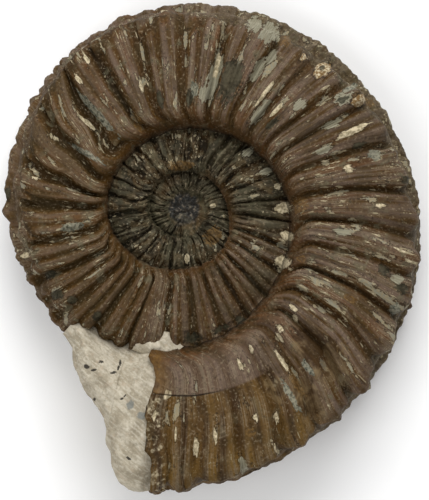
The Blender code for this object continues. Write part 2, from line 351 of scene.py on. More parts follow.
covered = angle < LAST_TURN - 0.01
seam = read(SEAM_MM, angle) * (angle > COIL_START)
next_seam = read(SEAM_MM, angle + TURN)
keel = read(KEEL_MM, angle)
shoulder = choose(covered, next_seam, seam + read(SHOULDER_AT, angle) * (keel - seam))
height = choose(covered, (next_seam - seam) / SHOULDER_AT[0][1], keel - seam)
share = flank_share(way)
venter = most(way - 1.0, 0.0)
radius = seam + share * (shoulder - seam) + read(VENTER_OUT, venter) * (keel - shoulder)
radius = radius * (angle > COIL_START - 0.01)
across = (radius - seam) / height

outer_half = half_width * WIDTH_GROWTH ** ((most(angle, COIL_START) - MOUTH) / TURN)
inner_half = half_width * WIDTH_GROWTH ** ((most(angle - TURN, COIL_START) - MOUTH) / TURN)
low = inner_half * SHOULDER_FALL
fall = choose(way > 1.0, read(VENTER_FALL, venter), read(FLANK_FALL, share))
lift = (low + (outer_half - low) * read(WALL_RISE, share)) * fall

swept = read(SWEEP, angle) * smooth(0.5, 1.0, across)
jagged = (cloud(point(across * 16.0, side, 0.0), 1.0, 5.0) - 0.5) * 3.2 * smooth(0.3, 0.45, across)
jagged = jagged * (1.0 - 0.7 * smooth(0.86, 0.94, across))
broken = smooth(MOUTH - 16.0, MOUTH, angle) * read(BROKEN_BACK, across)
broken = broken + smooth(MOUTH - 3.0, MOUTH, angle) * jagged
turned = (angle + swept - broken) * (math.pi / 180.0)
x = -radius * cosine_of(turned)
y = radius * sine_of(turned)

# Ribs follow the growth lines, and no two are alike. Some are split in two by a weaker groove. Up to
# the middle of the last turn they end on the shoulder in lobes that overlap like tiles. Those of the
# body chamber fade.
grown = growth_line(angle, share)
numbers = read([(at, n - 1.0) for n, at in enumerate(GROOVES)], grown)
number = choose(grown > GROOVES[1], numbers, read(INNER_GROOVES, grown))
worn = cloud(point(grown * 0.12, way * 1.4, side * 5.0), 1.0, 3.0) - 0.5
inner_turns = 1.0 - smooth(150.0, 230.0, angle)
number = number + worn * (0.35 + 1.1 * inner_turns)
phase = number % 1.0
near = least(phase, 1.0 - phase)
vary = cloud(point(number * 0.8, way * 0.6, side * 3.0), 1.0, 1.0)
depth = read(GROOVE_DEPTH, grown) * (0.45 + 1.1 * vary)
late = smooth(440.0, 485.0, angle)
single = smooth(335.0, 352.0, angle) * (1.0 - smooth(425.0, 450.0, angle))
hollow = (1.0 - smooth(0.02, 0.21 - 0.05 * late + 0.07 * single, near)) * depth
doubled = 1.0 - smooth(445.0, 485.0, angle)
halved = 1.0 - smooth(325.0, 365.0, angle)
split = bell(phase, 0.40 + 0.10 * halved, 0.07) * (0.3 + 0.5 * vary) * doubled
split = split * (1.0 - single * (1.0 - 0.45 * smooth(0.4, 0.75, way)))
round_top = cosine_of(phase * TURN * math.pi / 180.0)
thread = (cloud(point(grown * 0.55, way * 0.7, side), 1.0, 5.0) - 0.5) * (1.0 - 0.75 * smooth(0.95, 1.2, way))
chamber = smooth(CHAMBER, CHAMBER + 27.0, angle) * (1.0 - 0.5 * smooth(0.45, 0.8, share))
lobe = choose(doubled > 0.5, 0.80 + 0.2 * phase + worn * 0.3, 1.1 + worn * 0.4)
tiled = angle > LAST_TURN + 60.0
ends = smooth(0.0, choose(doubled > 0.5, 0.16, 0.4), way - lobe) * tiled
core = 1.0 - smooth(2.6, 3.8, radius)
early = 1.0 - smooth(322.0, 342.0, angle)
fading = smooth(1.3 + 0.45 * early, 1.75 + 0.22 * early, way)
strength = smooth(0.0, 0.13, share) * (1.0 - core) * (1.0 - ends) * (1.0 - fading) * (1.0 - 0.75 * chamber)
thread = thread * (0.35 + 1.1 * late + 0.3 * (halved - inner_turns))
rib = (0.34 - hollow - split - round_top * 0.13 + thread) * strength * rib_relief
knob = bell(phase, 0.58, 0.2) * bell(way, 1.05, 0.17) * 0.07 * vary * smooth(440.0, 480.0, angle)
cord = abs(sine_of(grown * (math.pi / CORD_STEP) + worn * 8.0)) - 0.6
cord = cord * smooth(1.6, 1.9, way) * 0.013 * (0.2 + 1.6 * vary) * (0.4 + 0.6 * late)
wavy = (cloud(point(grown * 0.13, way * 1.5, side), 1.0, 4.0) - 0.5) * smooth(1.1, 1.5, way)
wavy = wavy * (0.11 + 0.08 * doubled)
scallops = abs(sine_of(grown * (math.pi / SCALLOP_STEP) + worn * 5.0)) - 0.6
scallops = scallops * smooth(1.25, 1.7, way) * 0.026 * doubled
raised = (rib * (1.0 + 0.35 * inner_turns) + knob + cord + scallops + wavy + worn * 0.02) * height

# How deep the grooves and splits lie, which the finish tints and darkens with painted shade, and a line
# along the ends of the lobes, where it paints their shadow.
lobe_shadow_line = bell(way - lobe, 0.11, 0.05) * tiled * doubled * (0.3 + vary)
groove_shade_depth = (hollow + split) * strength + lobe_shadow_line * 0.8
form_output = form.nodes.new("NodeGroupOutput")
for name, value in (("Place", point(x, y, side * lift)), ("Raised", raised), ("Groove", groove_shade_depth)):
    form.links.new(value.socket, form_output.inputs[name])

# The coil: sheets of points bent into that form, welded along the seam, tipped and laid down.
tree = bpy.data.node_groups.new("coiled_shell", "GeometryNodeTree")
SIZES = {
    "Half Width": ("NodeSocketFloat", HALF_WIDTH_MM),
    "Rib Relief": ("NodeSocketFloat", 0.082),
    "Columns": ("NodeSocketInt", 720),
    "Flank Rows": ("NodeSocketInt", 32),
    "Venter Rows": ("NodeSocketInt", 12),
}
identifiers = {}
for name, (kind, _) in SIZES.items():
    identifiers[name] = tree.interface.new_socket(name=name, in_out="INPUT", socket_type=kind).identifier
tree.interface.new_socket(name="Geometry", in_out="OUTPUT", socket_type="NodeSocketGeometry")
given = Wire.node(tree, "NodeGroupInput")
half_width, rib_relief, columns, flank_rows, venter_rows = (given.also(name) for name in SIZES)


def grid(across, along):
    """A flat sheet to be bent into the coil, and its own two counts, from 0, at every point."""
    inputs = {"Size X": 1.0, "Size Y": 1.0, "Vertices X": along + 1, "Vertices Y": across + 1}
    sheet = Wire.node(tree, "GeometryNodeMeshGrid", None, inputs)
    place = Wire.node(tree, "GeometryNodeInputPosition")
    apart = Wire.node(tree, "ShaderNodeSeparateXYZ", None, {0: place})
    return sheet, (apart + 0.5) * along, (apart.also("Y") + 0.5) * across


def keep(sheet, name, value, domain="CORNER"):
    """Stores a value on the mesh, for the finish to read or for a later step."""
    settings = {"data_type": "FLOAT", "domain": domain}
    inputs = {"Geometry": sheet, "Name": name, "Value": value}
    return Wire.node(tree, "GeometryNodeStoreNamedAttribute", settings, inputs)


def whorl(angle, way, side):
    """The form above, at a place on the coil."""
    inputs = dict(zip(FORM_INPUTS, (angle, way, side, half_width, rib_relief)))
    return Wire.node(tree, "GeometryNodeGroup", {"node_tree": form}, inputs)


def bend(sheet, row, angle, way, side):
    """Bends a sheet into its stretch of the coil. At the seam its points are those of the shoulder
    of the turn inside, but its finish goes by its own angle and way."""
    at_seam = row < 0.5
    placed = whorl(choose(at_seam, angle - TURN, angle), choose(at_seam, 1.0, way), side)
    sheet = keep(sheet, "coil_angle", angle)
    sheet = keep(sheet, "coil_way", way)
    sheet = keep(sheet, "coil_side", side)
    sheet = keep(sheet, "coil_groove", whorl(angle, way, side).also("Groove"))
    sheet = keep(sheet, "raised", placed.also("Raised"), "POINT")
    return Wire.node(tree, "GeometryNodeSetPosition", None, {"Geometry": sheet, "Position": placed})


def section(place):
    """Row, way and side of a point on a section from the upper seam, round the keel, to the lower."""
    half_rows = flank_rows + venter_rows
    side = 1.0 - 2.0 * (place > half_rows + 0.01)
    row = half_rows - abs(place - half_rows)
    return row, least(row, flank_rows) / flank_rows + most(row - flank_rows, 0.0) / venter_rows, side


# The last turn, all round its section. Its points fall in with the coarser ones of the covered
# turns along the seam and at its start.
sheet, column, place = grid((flank_rows + venter_rows) * 2.0, columns)
row, _, _ = section(place)
column = choose(row < 0.5, floor(column * 0.5 + 0.01) * 2.0, column)
snapped = floor(place * 0.5 + 0.01) * 2.0
place = choose((column < 0.5) * (row < flank_rows), snapped, place)
row, way, side = section(place)
last_turn = bend(sheet, row, LAST_TURN + column * (TURN / columns), way, side)

# The covered turns, which show only their flanks, as one sheet on each side.
flanks = []
for side in (1.0, -1.0):
    sheet, column, row = grid(flank_rows * 0.5, columns * (0.5 * (LAST_TURN - COIL_START) / TURN))
    row = row if side > 0 else flank_rows * 0.5 - row
    angle = COIL_START + column * (2.0 * TURN / columns)
    flanks.append(bend(sheet, row, angle, row / (flank_rows * 0.5), side))

# The broken end of the shell, a crescent between its last section and the back of the turn inside.
END_ROWS = 4
sheet, along, depth_in = grid(END_ROWS, (flank_rows + venter_rows) * 2.0)
row, way, side = section(along)
at_seam = row < 0.5
rim = whorl(choose(at_seam, LAST_TURN, MOUTH), choose(at_seam, 1.0, way), side)
inside = whorl(LAST_TURN, most(way, 1.0), side)
inwards = depth_in / END_ROWS
mixed = Wire.node(tree, "ShaderNodeMix", {"data_type": "VECTOR"}, {0: inwards, 4: rim, 5: inside}, 1)
sheet = keep(sheet, "raised", choose(inwards > 0.5, inside.also("Raised"), rim.also("Raised")), "POINT")
sheet = keep(sheet, "coil_angle", MOUTH)
sheet = keep(sheet, "coil_way", way)
broken_end = Wire.node(tree, "GeometryNodeSetPosition", None, {"Geometry": sheet, "Position": mixed})

join = Wire.node(tree, "GeometryNodeJoinGeometry")
for part in (last_turn, *flanks, broken_end):
    tree.links.new(part.socket, join.socket.node.inputs[0])
welded = Wire.node(tree, "GeometryNodeMergeByDistance", None, {"Geometry": join, "Distance": WELD_MM})
raised = Wire.node(tree, "GeometryNodeInputNamedAttribute", {"data_type": "FLOAT"}, {"Name": "raised"})
position = Wire.node(tree, "GeometryNodeInputPosition")
from_axis = axis_distance(position)
middle = 1.0 - smooth(2.0, 14.0, from_axis)
lump = 1.0 - smooth(2.0, 3.6, from_axis)
raised = raised + (cloud(position, 0.9, 5.0) - 0.5) * (0.55 + 1.2 * middle) + lump * 0.4
outward = vector("SCALE", Wire.node(tree, "GeometryNodeInputNormal"), raised)
ribbed = Wire.node(tree, "GeometryNodeSetPosition", None, {"Geometry": welded, "Offset": outward})

# The fossil lies on its flank, and the crests that it rests on are rubbed flat.
position = Wire.node(tree, "GeometryNodeInputPosition")
inputs = {"Vector": position, "Axis": LAY_AXIS, "Angle": LAY_TILT}
laid = Wire.node(tree, "ShaderNodeVectorRotate", {"rotation_type": "AXIS_ANGLE"}, inputs)
metres = vector("SCALE", vector("ADD", laid, COIL_PLACE_MM), MM)
rubbed = vector("MAXIMUM", metres, (-1.0, -1.0, 0.0))
lying = Wire.node(tree, "GeometryNodeSetPosition", None, {"Geometry": ribbed, "Position": rubbed})
shaded = Wire.node(tree, "GeometryNodeSetShadeSmooth", None, {"Geometry": lying})


def rgb(red, green, blue):
    """A colour as the eye reads it off a screen, from 0 to 255, for a shader."""
    return *(((c / 255 + 0.055) / 1.055) ** 2.4 for c in (red, green, blue)), 1.0


def paint(mask, under, over):
    """The second colour laid over the first where the mask is 1. A Mix node has sockets of the same
    name for each kind of value, so those for colours go by number."""
    inputs = {0: mask, 6: under, 7: over}
    return Wire.node(mask.socket.id_data, "ShaderNodeMix", {"data_type": "RGBA"}, inputs, 2)


def place_in_mm(paints):
    """Where a point of the surface lies in the frame."""
    return vector("SCALE", Wire.node(paints, "ShaderNodeTexCoord").also("Object"), 1.0 / MM)


def new_finish(name):
    finish = bpy.data.materials.new(name)
    finish.use_nodes = True
    return finish


def add_object(name, data):
    made = bpy.data.objects.new(name, data)
    bpy.context.scene.collection.objects.link(made)
    return made


# The shell's finish. Brown calcite, purple-grey and satin on the crests, rusty down the grooves, with
# painted shade near black at their bottoms, grey-green inmost turns, flecks where the outer layer chipped
# off.
CREST, PALE_HIGHLIGHT_AND_GRAIN, BROWN = rgb(100, 83, 70), rgb(146, 131, 108), rgb(71, 49, 19)
AMBER, RUST, SHADE, DEEP = rgb(78, 53, 17), rgb(84, 49, 9), rgb(48, 31, 5), rgb(16, 11, 3)
HONEY, HONEY_DARK, GOLD = rgb(104, 77, 34), rgb(50, 31, 8), rgb(142, 110, 50)
DUST, SLATE, MOSS, TAN = rgb(96, 92, 72), rgb(90, 93, 82), rgb(40, 41, 30), rgb(122, 94, 54)
OLD, OLD_DARK, OLD_PALE = rgb(58, 59, 45), rgb(16, 16, 9), rgb(114, 109, 88)
CREAM, BUFF, ASH = rgb(206, 192, 160), rgb(150, 138, 110), rgb(138, 136, 118)

# The crack along the body chamber: how far out on the flank it meets the broken end, and how much
# further out it lies for each degree back from there.
CRACK_SHARE, CRACK_RISE = 0.331, 0.00265

shell_finish = new_finish("fossil_shell")
paints = shell_finish.node_tree
read_in = {
    name: Wire.node(paints, "ShaderNodeAttribute", {"attribute_name": name}).also("Fac")
    for name in ("coil_angle", "coil_way", "coil_side", "coil_groove", *MARKS)
}
angle, way, side, groove = (read_in["coil_" + name] for name in ("angle", "way", "side", "groove"))
share = flank_share(way)
at = place_in_mm(paints)
grown = growth_line(angle, share)
from_axis = axis_distance(vector("SUBTRACT", at, COIL_PLACE_MM))
outside = smooth(2.5, 7.0, from_axis)
central = cloud(at, 1.5, 5.0)
inner_turns = 1.0 - smooth(190.0, 290.0, angle)


def grown_cloud(across, along, seed, detail=4.0):
    """Noise drawn out along the growth lines: lumps per degree, and per whole way over a flank. On the
    inner turns, where a degree is short, its lumps take in more degrees."""
    fine = cloud(point(grown * across, way * along, side * 9.0 + seed), 1.0, detail)
    coarse = cloud(point(grown * across * 0.45, way * along, side * 9.0 + seed), 1.0, detail)
    return choose(outside, choose(inner_turns, coarse, fine), central)


broad, streak = grown_cloud(0.22, 1.2, 1.0), grown_cloud(0.7, 2.0, 2.0)
lines, threads = grown_cloud(2.6, 1.6, 3.0, 3.0), grown_cloud(5.5, 3.0, 4.0, 2.0)
flecks, scales = grown_cloud(0.95, 8.0, 5.0, 5.0), grown_cloud(0.36, 4.2, 6.0, 6.0)
patches, dust = cloud(at, 0.16, 4.0), cloud(at, 0.42, 6.0, 0.6)
grain, pits = cloud(at, 1.9, 5.0), cloud(at, 3.2, 3.0)

# Streaks of brown and purple-grey along the growth lines, rusty patches, and the body chamber, which
# is honey-coloured outside its crack and plain inside it.
banded = (streak - 0.5) * (0.6 + 0.4 * smooth(430.0, 480.0, angle)) + (grain - 0.5) * 0.3
colour = paint(smooth(-0.13, 0.10, banded), BROWN, CREST)
colour = paint(smooth(0.52, 0.70, broad + (streak - 0.5) * 0.4) * 0.75, colour, RUST)
edge = CRACK_SHARE + (MOUTH - angle) * CRACK_RISE + (patches - 0.5) * 0.03
chamber = smooth(CHAMBER, CHAMBER + 18.0, angle + (broad - 0.5) * 40.0)
honeyed = chamber * smooth(-0.01, 0.012, share - edge)
bands = smooth(0.42, 0.57, broad * 0.65 + streak * 0.15 + patches * 0.2)
colour = paint(honeyed * 0.85, colour, paint(bands, HONEY_DARK, HONEY))
plain = chamber * (1.0 - smooth(-0.01, 0.012, share - edge)) * smooth(0.03, 0.1, share)
colour = paint(plain * 0.6, colour, CREST)

# The wall at the seam, and the grooves: amber on their sides, and painted shade that darkens them with
# depth, most of all on the first third of the last turn, which looks glazed.
wall = 1.0 - smooth(0.05, 0.2, share + (grain - 0.5) * 0.1)
colour = paint(wall * 0.85, colour, paint(smooth(0.38, 0.60, streak * 0.5 + dust * 0.5), SHADE, RUST))
sunk = (groove + (grain - 0.5) * 0.35 + (streak - 0.5) * 0.3) * (1.0 - chamber * 0.5)
glazed = smooth(276.0, 300.0, angle) * (1.0 - smooth(390.0, 430.0, angle))
sunk = sunk * (1.0 - 0.2 * smooth(440.0, 480.0, angle) + 0.4 * glazed)
colour = paint(smooth(0.04, 0.3, sunk) * 0.7, colour, AMBER)
# Painted shade, darker the deeper in the groove.
colour = paint(smooth(0.25, 0.65, sunk) * 0.75, colour, SHADE)
colour = paint(smooth(0.7, 1.05, sunk) * 0.7, colour, DEEP)

# Gold on the body chamber's shoulder, painted shade on the steep slope beyond the shoulder, and
# painted highlights along the crests.
gilded = honeyed * bell(way + (streak - 0.5) * 0.3, 1.02, 0.12) * smooth(0.35, 0.6, broad)
colour = paint(gilded * 0.5, colour, GOLD)
shaded_slope = bell(way, 1.2, 0.22) * smooth(0.36, 0.54, dust) * (1.0 - 0.6 * smooth(430.0, 480.0, angle))
colour = paint(shaded_slope * 0.85, colour, SHADE)
# Painted highlight along the crests. The same pale colour also lightens the grain further down.
crest_highlight = (1.0 - smooth(0.0, 0.12, groove)) * smooth(0.46, 0.60, lines) * smooth(0.42, 0.6, patches)
colour = paint(crest_highlight * (0.5 + 0.3 * bell(angle, 255.0, 45.0)), colour, PALE_HIGHLIGHT_AND_GRAIN)

# The grey-green inmost turns with painted shade in their grooves, and the blurred lump that they start from.
inmost = 1.0 - smooth(150.0, 260.0, angle + (patches - 0.5) * 160.0)
inmost = inmost * (1.0 - 0.85 * wall * smooth(110.0, 165.0, angle))
core = 1.0 - smooth(2.5, 3.3, from_axis + (dust - 0.5) * 3.0)
# Painted shade in the grooves of the inmost turns.
old = paint(smooth(0.1, 0.5, groove + (grain - 0.5) * 0.5), OLD, OLD_DARK)
old = paint(smooth(0.53, 0.66, streak) * 0.7, old, OLD_PALE)
old = paint(smooth(0.46, 0.6, patches + (dust - 0.5) * 0.6) * 0.55, old, BROWN)
old = paint((1.0 - smooth(0.40, 0.54, dust)) * 0.6, old, OLD_DARK)
colour = paint(inmost * 0.85, colour, old)
colour = paint(core * 0.92, colour, paint(smooth(0.4, 0.6, grain), rgb(52, 52, 50), rgb(24, 24, 23)))

# The dusty back of the second half of the last turn, the stretches that are darker than the rest or
# glazed, and painted shade on the wall at the top of the picture, which faces away from the light.
backed = smooth(1.02, 1.25, way) * smooth(440.0, 480.0, angle) * (1.0 - smooth(590.0, 612.0, angle))
back_shade = smooth(0.36, 0.62, dust + (grain - 0.5) * 0.5)
colour = paint(backed * 0.5, colour, paint(back_shade, rgb(98, 92, 70), rgb(52, 46, 28)))
darker_and_shaded = smooth(276.0, 284.0, angle) * (1.0 - smooth(325.0, 350.0, angle)) * 0.28 + honeyed * 0.3
darker_and_shaded = darker_and_shaded + bell(angle, 530.0, 40.0) * 0.2 + bell(angle, 245.0, 35.0) * 0.28
# Painted shade on the upper wall, which faces away from the light.
darker_and_shaded = darker_and_shaded + wall * bell(angle, 450.0, 45.0) * 0.45
colour = paint(darker_and_shaded, colour, SHADE)
colour = paint(glazed * 0.25, colour, rgb(82, 58, 18))

# Dust, the finest growth lines, and grain.
dusty = smooth(0.52, 0.66, dust) * smooth(0.40, 0.6, patches) * (1.0 - chamber * 0.6)
colour = paint(dusty * 0.6, colour, DUST)
colour = paint((1.0 - smooth(0.36, 0.5, patches)) * 0.3, colour, rgb(64, 58, 38))
drawn = (0.45 + 0.55 * smooth(430.0, 470.0, angle)) * (1.0 - honeyed * 0.5)
colour = paint(smooth(0.5, 0.68, lines) * 0.4 * drawn, colour, SHADE)
colour = paint(smooth(0.55, 0.70, threads) * 0.25 * drawn, colour, SHADE)
colour = paint(smooth(0.54, 0.72, grain) * 0.5, colour, DEEP)
colour = paint((1.0 - smooth(0.30, 0.46, grain)) * 0.35, colour, PALE_HIGHLIGHT_AND_GRAIN)

# Scales and flecks where the outer layer has chipped off, a little more often on the second half of
# the last turn, and small pale specks.
scarred = smooth(420.0, 450.0, angle) * (1.0 - smooth(575.0, 600.0, angle))
often = (patches - 0.5) * 0.25 + (broad - 0.5) * 0.15 + scarred * 0.006 - chamber * 0.03
often = often - (1.0 - outside) - wall * 0.09
flaking = scales + often + (grain - 0.5) * 0.2
colour = paint(bell(flaking, 0.615, 0.012) * 0.7, colour, DEEP)
scaled = smooth(0.625, 0.65, flaking)
colour = paint(scaled * 0.75, colour, paint(smooth(0.40, 0.60, grain), ASH, BUFF))
chipped = smooth(0.645, 0.675, flecks + often + (grain - 0.5) * 0.25)
colour = paint(chipped * (0.5 + 0.6 * streak), colour, paint(smooth(0.35, 0.55, grain), CREAM, BUFF))
specks = smooth(0.66, 0.72, pits) * smooth(0.48, 0.6, patches) * outside
specks = specks * (1.0 - 0.7 * chamber) * (1.0 - 0.6 * glazed)
colour = paint(specks * 0.7, colour, CREAM)

# The single marks. Each is a soft spot that noise gives a ragged edge, less so for the rings. Chips,
# rings and dark spots have a dark rim.
wobble = (flecks - 0.5) * 1.8 * smooth(290.0, 420.0, angle) + (grain - 0.5) * 1.1
wobble = wobble + (cloud(at, 0.9, 4.0) - 0.5) * 0.9
spots = {name: read_in[name] + wobble * smooth(0.0, 0.15, read_in[name]) for name in MARKS}
spots["ring"] = read_in["ring"] + wobble * 0.5 * smooth(0.0, 0.15, read_in["ring"])
masks = {name: smooth(0.42, 0.58, spot) for name, spot in spots.items()}
rims = sum(bell(spots[name], 0.36, 0.07) for name in ("ash", "pale", "ring", "dark"))
colour = paint(least(rims, 1.0) * 0.65, colour, DEEP)
mottling = smooth(0.43, 0.57, dust * 0.4 + streak * 0.3 + patches * 0.3)
mossy = paint(smooth(0.5, 0.6, pits), SLATE, MOSS)
sooty = smooth(0.35, 0.65, dust + (grain - 0.5) * 0.5)
for name, shade, cover in (
    ("mottled", paint(mottling, rgb(42, 26, 8), rgb(116, 97, 68)), 0.65),
    ("tan", paint(smooth(0.4, 0.6, grain), BROWN, TAN), 0.5),
    ("slate", paint(smooth(0.42, 0.62, grain), ASH, mossy), 0.8),
    ("ash", paint(smooth(0.35, 0.65, threads), rgb(112, 108, 88), rgb(154, 150, 130)), 0.85),
    ("pale", paint(smooth(0.40, 0.62, grain), CREAM, BUFF), 0.85),
    ("ring", paint(smooth(0.38, 0.58, grain), CREAM, TAN), 0.75),
    ("dark", paint(sooty, rgb(68, 65, 50), rgb(34, 33, 23)), 0.85),
):
    colour = paint(masks[name] * cover, colour, shade)

# Painted shade in the crease of the seam, the crack, and the amber and chipped rim of the broken end.
seam = bell(way, 0.0, 0.035) * smooth(275.0, 300.0, angle)
colour = paint(seam * 0.75, colour, DEEP)
crack = bell(share - edge, 0.0, 0.006) * smooth(612.0, 626.0, angle)
colour = paint(crack * 0.9, colour, DEEP)
amber = smooth(MOUTH - 9.0, MOUTH - 2.0, angle + (dust - 0.5) * 16.0) * (share < edge)
colour = paint(amber * 0.55, colour, paint(smooth(0.35, 0.6, dust), rgb(120, 88, 40), AMBER))
chips = smooth(MOUTH - 6.5, MOUTH - 4.5, angle) * (share > edge) * smooth(0.5, 0.7, cloud(at, 1.1, 6.0))
colour = paint(chips * 0.6, colour, paint(smooth(0.4, 0.6, grain), CREAM, BUFF))

relief = lines * 0.25 + threads * 0.15 + streak * 0.5 + grain * 0.5 - (chipped + scaled) * 0.2 - crack * 0.8
relief = relief - masks["pale"] * 0.25 - masks["dark"] * 0.35 + dust * 0.5
bump = Wire.node(paints, "ShaderNodeBump", None, {"Strength": 0.8, "Distance": 0.00035, "Height": relief})
shader = paints.nodes["Principled BSDF"]
shader.inputs["Specular IOR Level"].default_value = 0.1
paints.links.new(colour.socket, shader.inputs["Base Color"])
rough = 0.52 + grain * 0.25 + chipped * 0.3 + masks["pale"] * 0.3 + dusty * 0.2
paints.links.new(rough.socket, shader.inputs["Roughness"])
paints.links.new(bump.socket, shader.inputs["Normal"])
real = Wire.node(tree, "GeometryNodeRealizeInstances", None, {"Geometry": shaded})
done = Wire.node(tree, "GeometryNodeSetMaterial", None, {"Geometry": real, "Material": shell_finish})
output = tree.nodes.new("NodeGroupOutput")
tree.links.new(done.socket, output.inputs[0])

maker = add_object("coil_maker", bpy.data.meshes.new("coil_maker"))
modifier = maker.modifiers.new("coiled_shell", "NODES")
modifier.node_group = tree
for name, (_, value) in SIZES.items():
    modifier[identifiers[name]] = value
evaluated = maker.evaluated_get(bpy.context.evaluated_depsgraph_get())
shell_mesh = bpy.data.meshes.new_from_object(evaluated)
shell_mesh.name = "coiled_shell"
shell = add_object("coiled_shell", shell_mesh)
bpy.data.objects.remove(maker)

# The slit that is left on each side where the coil starts is closed, and all faces are turned out.
closed = bmesh.new()
closed.from_mesh(shell_mesh)
slits = bmesh.ops.holes_fill(closed, edges=[edge for edge in closed.edges if edge.is_boundary])["faces"]
bmesh.ops.triangulate(closed, faces=slits)
bmesh.ops.recalc_face_normals(closed, faces=closed.faces[:])
closed.to_mesh(shell_mesh)
closed.free()
shell_mesh.shade_smooth()

# Its single marks, as soft spots round their places that the finish gives an edge.
tracks = []
for vertex in shell_mesh.vertices:
    x, y, z = (c / MM - o for c, o in zip(vertex.co, COIL_PLACE_MM))
    if z > 0:
        tracks.append((math.degrees(math.atan2(y, -x)) % TURN, math.hypot(x, y), vertex.index))
tracks.sort()


def vertices_near(angle, radius, long, wide):
    """Every vertex of the upper flank round a place, with how far it is off in half sizes."""
    reach = math.degrees(1.6 * max(long, wide) / radius)
    for turn in (-TURN, 0.0, TURN):
        low = bisect.bisect(tracks, (angle - reach + turn, 0.0, 0))
        high = bisect.bisect(tracks, (angle + reach + turn, 0.0, 0))
        for at, out, index in tracks[low:high]:
            lean = math.radians(at - angle)
            yield index, math.hypot((out * math.cos(lean) - radius) / long, out * math.sin(lean) / wide)


for name, places in MARKS.items():
    spots = [0.0] * len(shell_mesh.vertices)
    for angle, radius, long, wide in places:
        for index, off in vertices_near(angle, radius, long, wide):
            spots[index] = max(spots[index], 1.5 - off)
    shell_mesh.attributes.new(name, "FLOAT", "POINT").data.foreach_set("value", spots)

# The knobs, each as a mound. Where two meet, their heights add up.
heights = {}
for angle, radius, spread, height in KNOBS:
    for index, off in vertices_near(angle, radius, spread, spread):
        heights[index] = heights.get(index, 0.0) + height * MM * math.exp(-off * off * 2.0)
raised_places = {index: shell_mesh.vertices[index].normal * height for index, height in heights.items()}
for index, offset in raised_places.items():
    shell_mesh.vertices[index].co += offset
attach(shell, "root")
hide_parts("shell")

# The limestone filling. Pale stone that set in the mouth of the shell. It broke away in front, and
# still lies against the back of the turn inside it.
FREE_EDGE_MM = (
    (277.0, 52.1), (280.8, 51.8), (282.9, 51.1), (285.6, 48.4), (286.4, 46.3), (288.4, 44.7),
    (289.1, 42.2), (290.6, 40.6), (295.7, 38.1), (300.6, 36.5), (304.4, 34.7), (308.7, 32.0), (316.0, 31.2),
)
STONE_START, STONE_END = 279.0, 314.0
STONE_COLUMNS, STONE_ROWS, EDGE_ROWS = 130, 70, 24
ROUGH_MM = 0.45

# How deep the stone reaches into the turn inside it, and how many degrees its free edge lags behind
# its foot at the broken shell.
BURIED_MM, EDGE_LAG = 1.5, 4.5


def line(points, x):
    """Straight-line reading of (x, y) points."""
    for (xa, ya), (xb, yb) in zip(points, points[1:]):
        if x <= xb:
            return ya + (yb - ya) * max(0.0, x - xa) / (xb - xa)
    return points[-1][1]


def step(low, high, x):
    t = min(1.0, max(0.0, (x - low) / (high - low)))
    return t * t * (3.0 - 2.0 * t)


def stone_point(far, share, side):
    """A point of the stone, from the shell at 0 to its tip at 1, and from the inner turn at 0 over
    its face to the free edge at 1, and on to 2 where the two sides meet."""
    wall_angle = STONE_START + (STONE_END - STONE_START) * far
    inner = line(SEAM_MM, wall_angle + TURN) - 0.9 * step(0.4, 1.0, far)
    across = min(share, 1.0)
    at_shell = 1.0 - step(0.0, 0.14, far)
    edge_angle = wall_angle - EDGE_LAG * (1.0 - far)
    reach = line(FREE_EDGE_MM, edge_angle) - 1.6 * at_shell
    radius = inner - BURIED_MM + (reach - inner + BURIED_MM) * across
    turned = math.radians(wall_angle - EDGE_LAG * (1.0 - far) * step(0.0, 1.0, across))
    half = HALF_WIDTH_MM * (0.95 - 0.5 * far ** 2.2)
    wall = SHOULDER_FALL * HALF_WIDTH_MM / WIDTH_GROWTH - 0.6 - 2.9 * step(0.1, 0.5, far)
    lift = wall + (half - wall) * step(0.0, 0.2 + 0.5 * step(0.0, 0.5, far), across)
    lift *= line(FLANK_FALL, across) * (1.0 - 0.25 * at_shell * step(0.7, 1.0, across))
    if share > 1.0:
        lift *= math.cos((share - 1.0) * math.pi / 2)
        radius += 0.5 * math.sin((share - 1.0) * math.pi)
    place = Vector((-radius * math.cos(turned), radius * math.sin(turned), side * lift))
    lumps = noise.fractal(place * 0.22, 1.0, 2.0, 5) + 0.25 * noise.fractal(place * 1.3, 1.0, 2.0, 3)
    out = Vector((-math.cos(turned), math.sin(turned), 0.0)) * step(0.85, 1.1, share)
    out.z = side * (1.0 - step(0.9, 1.6, share))
    return place + out * ROUGH_MM * lumps


def skin(rings):
    """Closes a row of rings of points into a body, with a face at each end."""
    for near, far in zip(rings, rings[1:]):
        for i in range(len(near)):
            stone_mesh.faces.new((near[i - 1], near[i], far[i], far[i - 1]))
    stone_mesh.faces.new(rings[0])
    stone_mesh.faces.new(rings[-1])


lay = Matrix.Scale(MM, 4) @ Matrix.Translation(COIL_PLACE_MM) @ Matrix.Rotation(LAY_TILT, 4, LAY_AXIS)
around = [(r / STONE_ROWS, 1) for r in range(STONE_ROWS + 1)]
around += [(1.0 + r / EDGE_ROWS, 1) for r in range(1, EDGE_ROWS + 1)]
around += [(share, -1) for share, _ in reversed(around[:-1])]
stone_mesh = bmesh.new()
rings = []
for column in range(STONE_COLUMNS + 1):
    ring = []
    for share, side in around:
        place = lay @ stone_point(column / STONE_COLUMNS, share, side)
        ring.append(stone_mesh.verts.new((place.x, place.y, max(place.z, 0.0))))
    rings.append(ring)
skin(rings)

